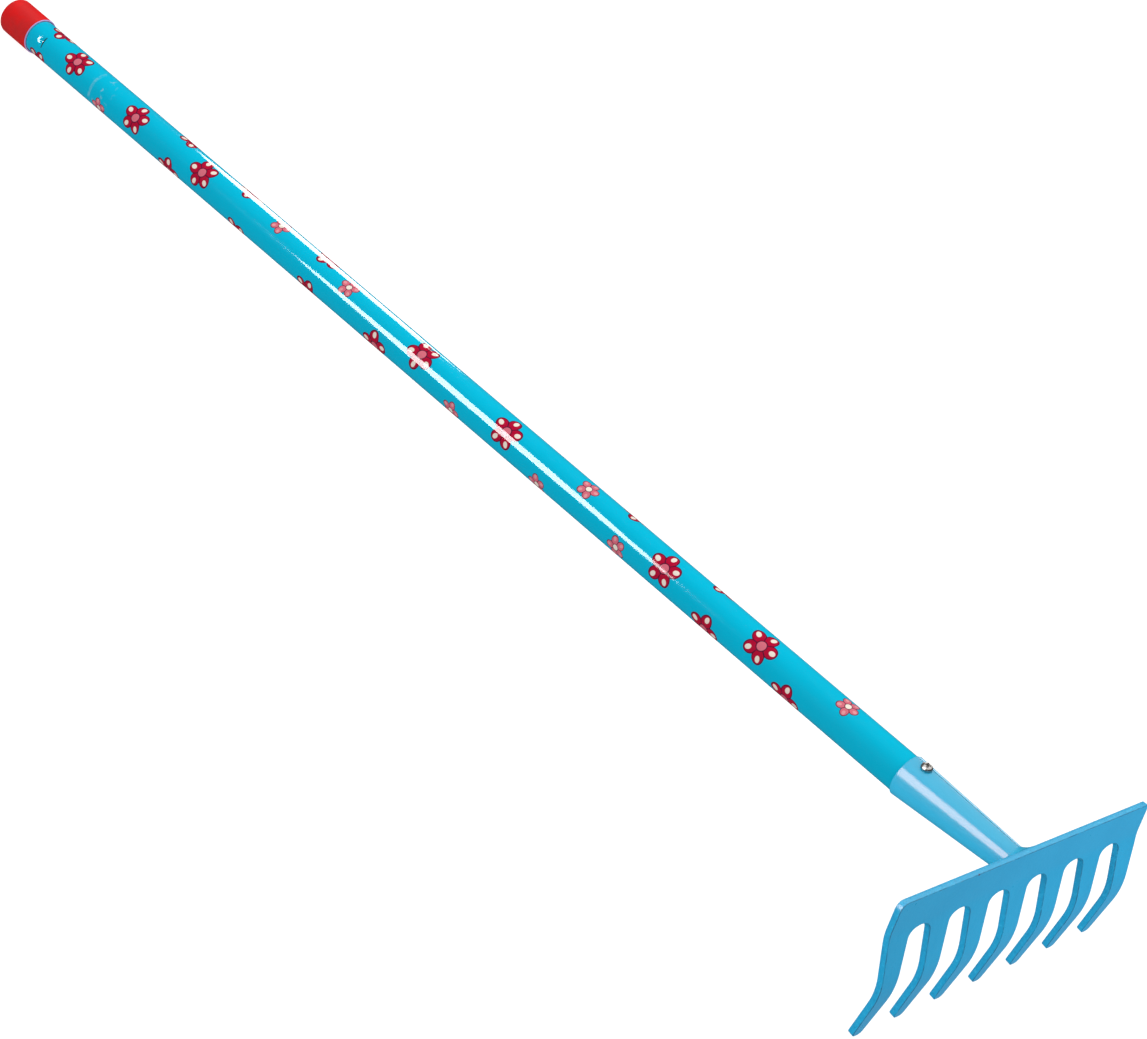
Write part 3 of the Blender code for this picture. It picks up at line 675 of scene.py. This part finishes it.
def build_weld():
    """Fillet bead in the corner of cone and plate, laid in short overlapping steps."""
    rng = np.random.default_rng(7)
    around, across, clear = 240, 14, 0.2
    phase = rng.uniform(0, 2 * math.pi, 8)
    corner = on_plate([(0.0, 0.0, PLATE_T)])[0]              # top edge of the plate's back
    down = np.array([0.0, -math.sin(rad(BAND_ANGLE)), -math.cos(rad(BAND_ANGLE))])
    verts, rows = [], []
    for j in range(around):
        a = 2 * math.pi * j / around
        y0 = cone_to_plane(a, -clear, clear)
        root = cone_point(y0, a, -clear)
        radial = np.array([math.cos(a), 0.0, math.sin(a)])
        out = radial - BACK_N * (radial @ BACK_N)
        out /= np.linalg.norm(out)
        wob = sum(math.sin((k + 2) * a + phase[k]) / (k + 2) for k in range(5))
        full = math.exp(-((math.degrees(a) - 62.0) / 34.0) ** 2)
        leg_p = WELD_LEG_PLATE * (0.90 + 0.05 * wob) * (1.0 + 0.40 * full)
        leg_c = WELD_LEG_CONE * (0.90 + 0.06 * wob)
        drop = (root - corner) @ down
        if out @ down < -1e-6:
            leg_p = min(leg_p, (drop - 0.05) / -(out @ down))
        up = cone_point(y0 + leg_c, a, -0.03)
        toe = root + out * leg_p
        short = min(max((EDGE_B - (toe - corner) @ down) / EDGE_B, 0.0), 0.95)
        toe = toe - BACK_N * (clear - 0.03 + EDGE_B * (1 - math.sqrt(1 - short * short)))
        step = (j * 26.0 / around) % 1.0
        ripple = 0.05 * (1 - (2 * step - 1) ** 2) - 0.025
        row = [root, toe, toe + BACK_N * 0.14]
        p0, p2 = toe + BACK_N * 0.14, up + out * 0.06
        p1 = root + (out * leg_p + (up - root)) * (0.22 + 0.12 * full)
        for i in range(1, across):
            k = i / across
            q = (1 - k) ** 2 * p0 + 2 * k * (1 - k) * p1 + k * k * p2
            lift = (out + BACK_N) / math.sqrt(2.0)
            row.append(q + lift * ripple * math.sin(math.pi * k))
        row += [p2, up]
        rows.append([len(verts) + i for i in range(len(row))])
        verts += row
    m = len(rows[0])
    faces = []
    for j in range(around):
        a, b = rows[j], rows[(j + 1) % around]
        for i in range(m):
            k = (i + 1) % m
            faces.append((a[i], a[k], b[k], b[i]))
    ob = new_object("weld_bead", verts, faces)
    face_out(ob)
    stands_for(ob, "socket_weld", MAT_WELD)
    ob.data.set_sharp_from_angle(angle=rad(55))
    return ob


# ------------------------------------------------------------ film on the tube
def lance_depth(off_deg, y):
    u = off_deg / LANCE_HALF_SPAN
    v = (y - LANCE_Y - LANCE_SLIT) / LANCE_RUN
    if abs(u) >= 1 or v < -1e-9 or v >= 1:
        return 0.0
    v = max(v, 0.0)
    d = LANCE_DEPTH * math.cos(u * math.pi / 2) ** 2 * (1 - v) ** 2 * (1 + 2 * v)
    crease = math.exp(-((u * 0.8 + v - 0.42) / 0.10) ** 2)   # fold left by the punch
    return d + 0.07 * crease * math.cos(u * math.pi / 2) ** 2 * v * (1 - v) * 4


def build_film():
    lo, hi = SOCKET_RIM_Y - 1.5, PIPE_TOP_Y
    ys = list(np.linspace(lo, LANCE_Y - 4.0, 150)) + [LANCE_Y - 2.0, LANCE_Y - 0.8]
    slit = len(ys)
    ys += [LANCE_Y, LANCE_Y + LANCE_SLIT]
    ys += list(LANCE_Y + LANCE_SLIT + LANCE_RUN * np.linspace(0, 1, 29)[1:])
    ys += list(np.linspace(LANCE_Y + LANCE_SLIT + LANCE_RUN, hi, 14)[1:])
    span = int(LANCE_HALF_SPAN)
    fine = list(range(-span - 4, span + 5))                  # degrees round the crimp
    rest = list(np.linspace(span + 4, 360 - span - 4, 121)[1:-1])
    offs = [float(o) for o in fine + rest]
    n = len(offs)
    i0, i1 = offs.index(float(-span)), offs.index(float(span))
    verts = []
    for y in ys:
        for o in offs:
            d = lance_depth(o if o <= 180 else o - 360.0, y)
            a = rad(LANCE_ANGLE + o)
            for r in (FILM_R - d, FILM_R - FILM_T - d):
                verts.append((r * math.cos(a), y, r * math.sin(a)))

    def at(i, j, w):
        return 2 * (i * n + j % n) + w

    faces, uvs = [], []

    def uv(i, j):
        o = offs[j % n] + (360.0 if j >= n else 0.0)
        return (FILM_R * rad(o + span + 4) / 1000.0, ys[i] / 1000.0)

    def quad(ids, at_ij):
        faces.append(ids)
        uvs.append([uv(*q) for q in at_ij])

    for i in range(len(ys) - 1):
        for j in range(n):
            k = j + 1
            if i == slit and i0 <= j < i1:
                for q in (i, i + 1):
                    quad((at(q, j, 0), at(q, k, 0), at(q, k, 1), at(q, j, 1)), ((q, j), (q, k), (q, k), (q, j)))
                continue
            for w in (0, 1):
                quad((at(i, j, w), at(i, k, w), at(i + 1, k, w), at(i + 1, j, w)), ((i, j), (i, k), (i + 1, k), (i + 1, j)))
        if i == slit:
            for j in (i0, i1):
                quad((at(i, j, 0), at(i + 1, j, 0), at(i + 1, j, 1), at(i, j, 1)), ((i, j), (i + 1, j), (i + 1, j), (i, j)))
    for i in (0, len(ys) - 1):
        for j in range(n):
            quad((at(i, j, 0), at(i, j + 1, 0), at(i, j + 1, 1), at(i, j, 1)), ((i, j), (i, j + 1), (i, j + 1), (i, j)))
    ob = new_object("handle_sleeve", verts, faces)
    layer = ob.data.uv_layers.new(name="unroll")
    flat = [c for face in uvs for c in face]
    layer.data.foreach_set("uv", np.array(flat, np.float32).ravel())
    face_out(ob)
    stands_for(ob, "handle_film", MAT_FILM)
    ob.data.set_sharp_from_angle(angle=rad(45))
    return ob


# ---------------------------------------------------------------------- cap
def build_cap():
    pts = []
    e = 0.42
    for i in range(6):                                       # rim, eased outside
        q = rad(90) * i / 5
        pts.append((CAP_R - e * (1 - math.sin(q)), CAP_RIM_Y + e * (1 - math.cos(q))))
    pts += [(CAP_R, y) for y in np.linspace(CAP_RIM_Y + e, CAP_END_Y - CAP_FILLET, 12)[1:-1]]
    for i in range(17):
        q = rad(90) * i / 16
        pts.append((CAP_R - CAP_FILLET + CAP_FILLET * math.cos(q), CAP_END_Y - CAP_FILLET + CAP_FILLET * math.sin(q)))
    flat = CAP_R - CAP_FILLET
    pts += [(flat - 0.4, CAP_END_Y), (flat * 0.66, CAP_END_Y), (flat * 0.33, CAP_END_Y), (1.5, CAP_END_Y)]
    pts += [(1.32, CAP_END_Y - 0.02), (1.18, CAP_END_Y - 0.16), (0.9, CAP_END_Y - 0.22), (0.45, CAP_END_Y - 0.22)]
    pts.append((0.0, CAP_END_Y - 0.22))
    web = CAP_END_Y - CAP_WEB
    pts.append((0.0, web))
    pts += [(PLUG_BORE_R, web), (PLUG_BORE_R, PLUG_END_Y), (PLUG_R - 0.9, PLUG_END_Y), (PLUG_R, PLUG_END_Y + 2.5),
            (PLUG_R, GROOVE_LO_Y), (GROOVE_R, GROOVE_LO_Y), (GROOVE_R, GROOVE_HI_Y - (PLUG_R - GROOVE_R)), (PLUG_R, GROOVE_HI_Y),
            (PLUG_R, web), (CAP_SKIRT_IN_R, web), (CAP_SKIRT_IN_R, CAP_RIM_Y)]
    n = 144
    verts, rings = [], []
    for r, y in pts:
        if r < 1e-9:
            verts.append((0.0, y, 0.0))
            rings.append([len(verts) - 1])
        else:
            rings.append(list(range(len(verts), len(verts) + n)))
            verts += [(r * math.cos(2 * math.pi * j / n), y, r * math.sin(2 * math.pi * j / n)) for j in range(n)]
    faces = []
    for i in range(len(rings)):
        a, b = rings[i], rings[(i + 1) % len(rings)]
        if len(a) == 1 and len(b) == 1:
            continue
        for j in range(n):
            k = (j + 1) % n
            if len(b) == 1:
                faces.append((a[j], a[k], b[0]))
            elif len(a) == 1:
                faces.append((a[0], b[k], b[j]))
            else:
                faces.append((a[j], a[k], b[k], b[j]))
    ob = new_object("grip_cap", verts, faces)
    # mask of the rim edge that carries the painted highlight line
    rim = [1.0 if y < CAP_RIM_Y + 0.95 * e and r > CAP_SKIRT_IN_R + 0.1 else 0.0 for r, y in pts for _ in range(n if r >= 1e-9 else 1)]
    ob.data.attributes.new("rim", "FLOAT", "POINT").data.foreach_set("value", np.array(rim, np.float32))
    face_out(ob)
    stands_for(ob, "end_cap", MAT_CAP)
    ob.data.set_sharp_from_angle(angle=rad(40))
    return ob


# -------------------------------------------------------------------- screw
def build_screw():
    """Pan head with a cross recess over a threaded shank, one closed skin."""
    m = screw_frame()
    n = 96
    verts, rows, deep = [], [], []
    seat = FIT_GAP

    def recess(x, y):
        """Depth share of the cross recess at a point of the head, 0 outside."""
        c, s = math.cos(rad(28)), math.sin(rad(28))
        px, py = abs(x * c + y * s), abs(-x * s + y * c)
        arm, half = max(px, py), min(px, py)
        a = min(max((2.0 - arm) / 0.55, 0.0), 1.0)
        b = min(max((0.56 - half) / 0.24, 0.0), 1.0)
        core = min(max((1.05 - math.hypot(px, py)) / 0.4, 0.0), 1.0)
        return max(a * b, core) ** 0.8

    def ring(fn, h):
        row = []
        for j in range(n):
            t = 2 * math.pi * j / n
            r = fn(t)
            x, y = r * math.cos(t), r * math.sin(t)
            hh, d = h(x, y) if callable(h) else (h, 0.0)
            verts.append(m @ Vector((x, y, hh)))
            deep.append(d)
            row.append(len(verts) - 1)
        rows.append(row)

    def dome(x, y):
        q = min(math.hypot(x, y) / SCREW_HEAD_R, 1.0)
        h = 0.5 + (SCREW_HEAD_H - 0.5) * (1 - q ** 2.6) ** 0.62
        d = recess(x, y)
        return seat + h - 1.15 * d * min(1.0, max(0.0, (h - 0.6) / 0.6)), d

    verts.append(m @ Vector((0, 0, dome(0.0, 0.0)[0])))
    deep.append(1.0)
    for i in range(1, 45):
        r = SCREW_HEAD_R * math.sin(rad(90) * i / 44)
        ring(lambda _t, r=r: r, dome)
    ring(lambda _t: SCREW_HEAD_R, seat + 0.16)
    ring(lambda _t: SCREW_HEAD_R - 0.05, seat + 0.05)
    ring(lambda _t: SCREW_HEAD_R - 0.16, seat)
    ring(lambda _t: SCREW_CORE_R, seat)
    count = int(SCREW_LEN / (SCREW_PITCH / 12))
    for i in range(1, count + 1):
        d = SCREW_LEN * i / count
        point = max(0.0, (d - (SCREW_LEN - 3.2)) / 3.2)
        core = SCREW_CORE_R * max(1.0 - point, 0.06)
        rise = min(d / 0.8, 1.0) * (1.0 - point)

        def thread(t, d=d, core=core, rise=rise):
            q = (d / SCREW_PITCH - t / (2 * math.pi)) % 1.0
            return core + (SCREW_MAJOR_R - SCREW_CORE_R) * max(0.0, 1.0 - abs(q - 0.5) * 3.2) * rise

        ring(thread, seat - d)
    verts.append(m @ Vector((0, 0, seat - SCREW_LEN - 0.25)))
    deep.append(0.0)
    tip = len(verts) - 1
    faces = []
    for j in range(n):
        k = (j + 1) % n
        faces.append((0, rows[0][j], rows[0][k]))
        faces.append((tip, rows[-1][k], rows[-1][j]))
    for a, b in zip(rows, rows[1:]):
        for j in range(n):
            k = (j + 1) % n
            faces.append((a[j], b[j], b[k], a[k]))
    ob = new_object("socket_bolt", [tuple(v) for v in verts], faces)
    # recess depth share, the mask for the painted shade in the cross recess
    att = ob.data.attributes.new("recess", "FLOAT", "POINT")
    att.data.foreach_set("value", np.array(deep, np.float32))
    face_out(ob)
    stands_for(ob, "socket_screw", MAT_SCREW)
    ob.data.set_sharp_from_angle(angle=rad(60))
    return ob


head = build_head()
socket = build_socket()
weld = build_weld()
screw = build_screw()
sleeve = build_film()
cap = build_cap()
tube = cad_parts["handle_tube"]
tube.data.materials.clear()
tube.data.materials.append(MAT_TUBE)


# -------------------------------------------------------------------- stage
def build_floor():
    n, half = 24, 9.0
    v = [(-half + 2 * half * i / n, -half + 2 * half * j / n, 0.0) for j in range(n + 1) for i in range(n + 1)]
    f = [(j * (n + 1) + i, j * (n + 1) + i + 1, (j + 1) * (n + 1) + i + 1, (j + 1) * (n + 1) + i) for j in range(n) for i in range(n)]
    me = bpy.data.meshes.new("studio_floor")
    me.from_pydata(v, [], f)
    ob = bpy.data.objects.new("studio_floor", me)
    scene.collection.objects.link(ob)
    m = bpy.data.materials.new("studio_floor")
    t = Tree(m)
    grain = t.noise(t.coords(), 14.0, 3.0, 0.5)
    t.set(color=t.mix(t.step(grain, 0.3, 0.7), rgb(0.352, 0.352, 0.352), rgb(0.348, 0.348, 0.349)), rough=0.9, spec=0.0)
    me.materials.append(m)
    ob.location.z = -0.0002
    ob.visible_glossy = False
    ob.visible_diffuse = False
    ob.visible_shadow = False
    return ob


floor = build_floor()


def area_light(name, at, aim, size, power_radiance, glossy, diffuse, spin=0.0, receivers=None, blockers=None, oval=False, tint=(1.0, 1.0, 1.0)):
    """Soft box given by the brightness of its face; seen by reflections, by shading, or both."""
    d = bpy.data.lights.new(name, "AREA")
    d.shape = "ELLIPSE" if oval else "RECTANGLE"
    d.color = tint
    d.size, d.size_y = size
    d.energy = power_radiance * math.pi * size[0] * size[1] * (math.pi / 4 if oval else 1.0)
    ob = bpy.data.objects.new(name, d)
    z = (Vector(at) - Vector(aim)).normalized()
    up = Vector((0, 0, 1)) if abs(z.z) < 0.95 else Vector((0, 1, 0))
    x = up.cross(z).normalized()
    y = z.cross(x)
    m = Matrix((x, y, z)).transposed() @ Matrix.Rotation(spin, 3, "Z")
    ob.matrix_world = Matrix.Translation(Vector(at)) @ m.to_4x4()
    scene.collection.objects.link(ob)
    ob.visible_camera = False
    ob.visible_glossy = glossy
    ob.visible_diffuse = diffuse
    if receivers:
        group = bpy.data.collections.new(name + "_receivers")
        for r in receivers:
            group.objects.link(r)
        ob.light_linking.receiver_collection = group
    if blockers:
        group = bpy.data.collections.new(name + "_blockers")
        for r in blockers:
            group.objects.link(r)
        ob.light_linking.blocker_collection = group
    return ob


CENTRE = Vector(place([(0.0, 400.0, 0.0)])[0])


def around(az, el, dist):
    a, e = rad(az), rad(el)
    return CENTRE + Vector((math.cos(a) * math.cos(e), math.sin(a) * math.cos(e), math.sin(e))) * dist


# reflections in the glossy film
area_light("box_left", around(145.7, 18.2, 1.5), CENTRE, (0.49, 0.78), 18.0, True, False, spin=rad(20), receivers=[sleeve], oval=True)
area_light("box_right", around(45.8, 20.5, 1.5), CENTRE, (0.285, 0.86), 10.5, True, False, spin=rad(-26), receivers=[sleeve])
# reflections in the paint, the cap and the screw
painted = [head, socket, weld]
area_light("box_socket", around(172.0, 28.0, 1.5), CENTRE, (1.05, 1.12), 13.0, True, False, receivers=[socket, weld], tint=(1.0, 0.53, 0.42))
area_light("box_edge", around(172.0, 28.0, 1.5), CENTRE, (1.05, 1.12), 11.5, True, False, receivers=[head], tint=(1.0, 0.78, 0.70))
area_light("box_screw", around(172.0, 28.0, 1.5), CENTRE, (1.05, 1.12), 9.0, True, False, receivers=[screw])
area_light("box_top", CENTRE + Vector((1.2, 0.0, 1.6)), CENTRE + Vector((1.2, 0.0, 0.0)), (4.4, 3.2), 1.2, True, False, receivers=[socket, weld, screw])
area_light("box_strip", CENTRE + Vector((1.2, 0.0, 1.6)), CENTRE + Vector((1.2, 0.0, 0.0)), (4.4, 3.2), 1.75, True, False, receivers=[head])
area_light("card_back", around(17.0, 4.5, 1.6), CENTRE, (1.3, 0.53), 3.0, True, False, receivers=[socket, screw])
area_light("card_low", around(-26.0, -30.0, 1.8), CENTRE + Vector((0.0, -0.4, 0.0)), (2.2, 1.6), 0.30, True, False, receivers=painted, tint=(0.7, 0.85, 1.3))
area_light("box_cap", around(75.0, 55.0, 1.6), CENTRE + Vector((0.0, 0.4, 0.0)), (1.0, 1.0), 0.9, True, False, receivers=[cap])
# shading
area_light("key_film", CENTRE + Vector((0.7, 0.5, 2.4)), CENTRE, (2.4, 2.4), 2.2, False, True, receivers=[sleeve, cap, tube], tint=(1.0, 1.0, 0.94))
area_light("fill_film", around(180.0, -5.0, 2.4), CENTRE, (1.6, 1.6), 0.5, False, True, receivers=[sleeve])
area_light("key_paint", CENTRE + Vector((0.7, 0.5, 2.4)), CENTRE, (2.4, 2.4), 1.8, False, True, receivers=[socket, weld, screw])
area_light("key_head", CENTRE + Vector((0.7, 0.5, 2.4)), CENTRE, (2.4, 2.4), 3.0, False, True, receivers=[head], tint=(1.0, 1.0, 0.93))
area_light("fill_front", CENTRE + Vector((0.1, -2.6, 0.7)), CENTRE, (1.6, 1.2), 1.6, False, True, receivers=[socket, weld, screw, sleeve, cap, tube])
at_head = Vector((0.0, -0.39, 0.04))
area_light("fill_walls", around(160.0, 4.0, 2.4), CENTRE, (1.8, 1.8), 4.2, False, True, receivers=[head])
area_light("fill_right", Vector((0.09, -0.66, 0.11)), at_head, (0.30, 0.30), 2.2, False, True, receivers=[head])
area_light("fill_socket", around(178.0, -8.0, 2.4), CENTRE, (1.8, 1.8), 2.8, False, True, receivers=[socket, weld])
floor_wash = area_light("floor_wash", CENTRE + Vector((0.0, 0.0, 20.0)), CENTRE, (40.0, 40.0), 4.85, False, True, receivers=[floor], blockers=[floor])
if hasattr(floor_wash.data, "cycles"):
    floor_wash.data.cycles.use_multiple_importance_sampling = False

world = bpy.data.worlds.new("studio")
scene.world = world
world.use_nodes = True
wt = world.node_tree
wt.nodes.clear()
w_out = wt.nodes.new("ShaderNodeOutputWorld")
w_dir = wt.nodes.new("ShaderNodeTexCoord")
w_sep = wt.nodes.new("ShaderNodeSeparateXYZ")
w_up = wt.nodes.new("ShaderNodeMapRange")
w_up.inputs["From Min"].default_value = -0.25
w_up.inputs["From Max"].default_value = 0.25
w_up.inputs["To Min"].default_value = 0.72
w_up.inputs["To Max"].default_value = 0.68
w_path = wt.nodes.new("ShaderNodeLightPath")
w_mix = wt.nodes.new("ShaderNodeMix")
w_bg = wt.nodes.new("ShaderNodeBackground")
wt.links.new(w_dir.outputs["Generated"], w_sep.inputs[0])
wt.links.new(w_sep.outputs[2], w_up.inputs["Value"])
wt.links.new(w_path.outputs["Is Glossy Ray"], w_mix.inputs["Factor"])
wt.links.new(w_up.outputs[0], w_mix.inputs["A"])
w_mix.inputs["B"].default_value = 0.05
w_seen = wt.nodes.new("ShaderNodeMix")
wt.links.new(w_path.outputs["Is Camera Ray"], w_seen.inputs["Factor"])
wt.links.new(w_mix.outputs[0], w_seen.inputs["A"])
w_seen.inputs["B"].default_value = 1.15
wt.links.new(w_seen.outputs[0], w_bg.inputs["Strength"])
w_bg.inputs["Color"].default_value = (1.0, 1.0, 1.0, 1.0)
wt.links.new(w_bg.outputs[0], w_out.inputs[0])

# ------------------------------------------------------------------- camera
cam_data = bpy.data.cameras.new("camera")
cam = bpy.data.objects.new("camera", cam_data)
scene.collection.objects.link(cam)
cam_data.sensor_fit = "HORIZONTAL"
cam_data.sensor_width = 36.0
cam_data.lens = 93.70
right = Vector((0.6735759, -0.6364578, 0.3757885))
up = Vector((0.1509783, 0.6161875, 0.7729933))
fwd = Vector((0.7235337, 0.4639337, -0.5111403))
m = Matrix((right, up, -fwd)).transposed().to_4x4()
m.translation = Vector((-1.0806527, -0.7886610, 0.7928222))
cam.matrix_world = m
scene.camera = cam
scene.view_settings.view_transform = "Standard"
scene.view_settings.look = "None"

bpy.context.view_layer.update()
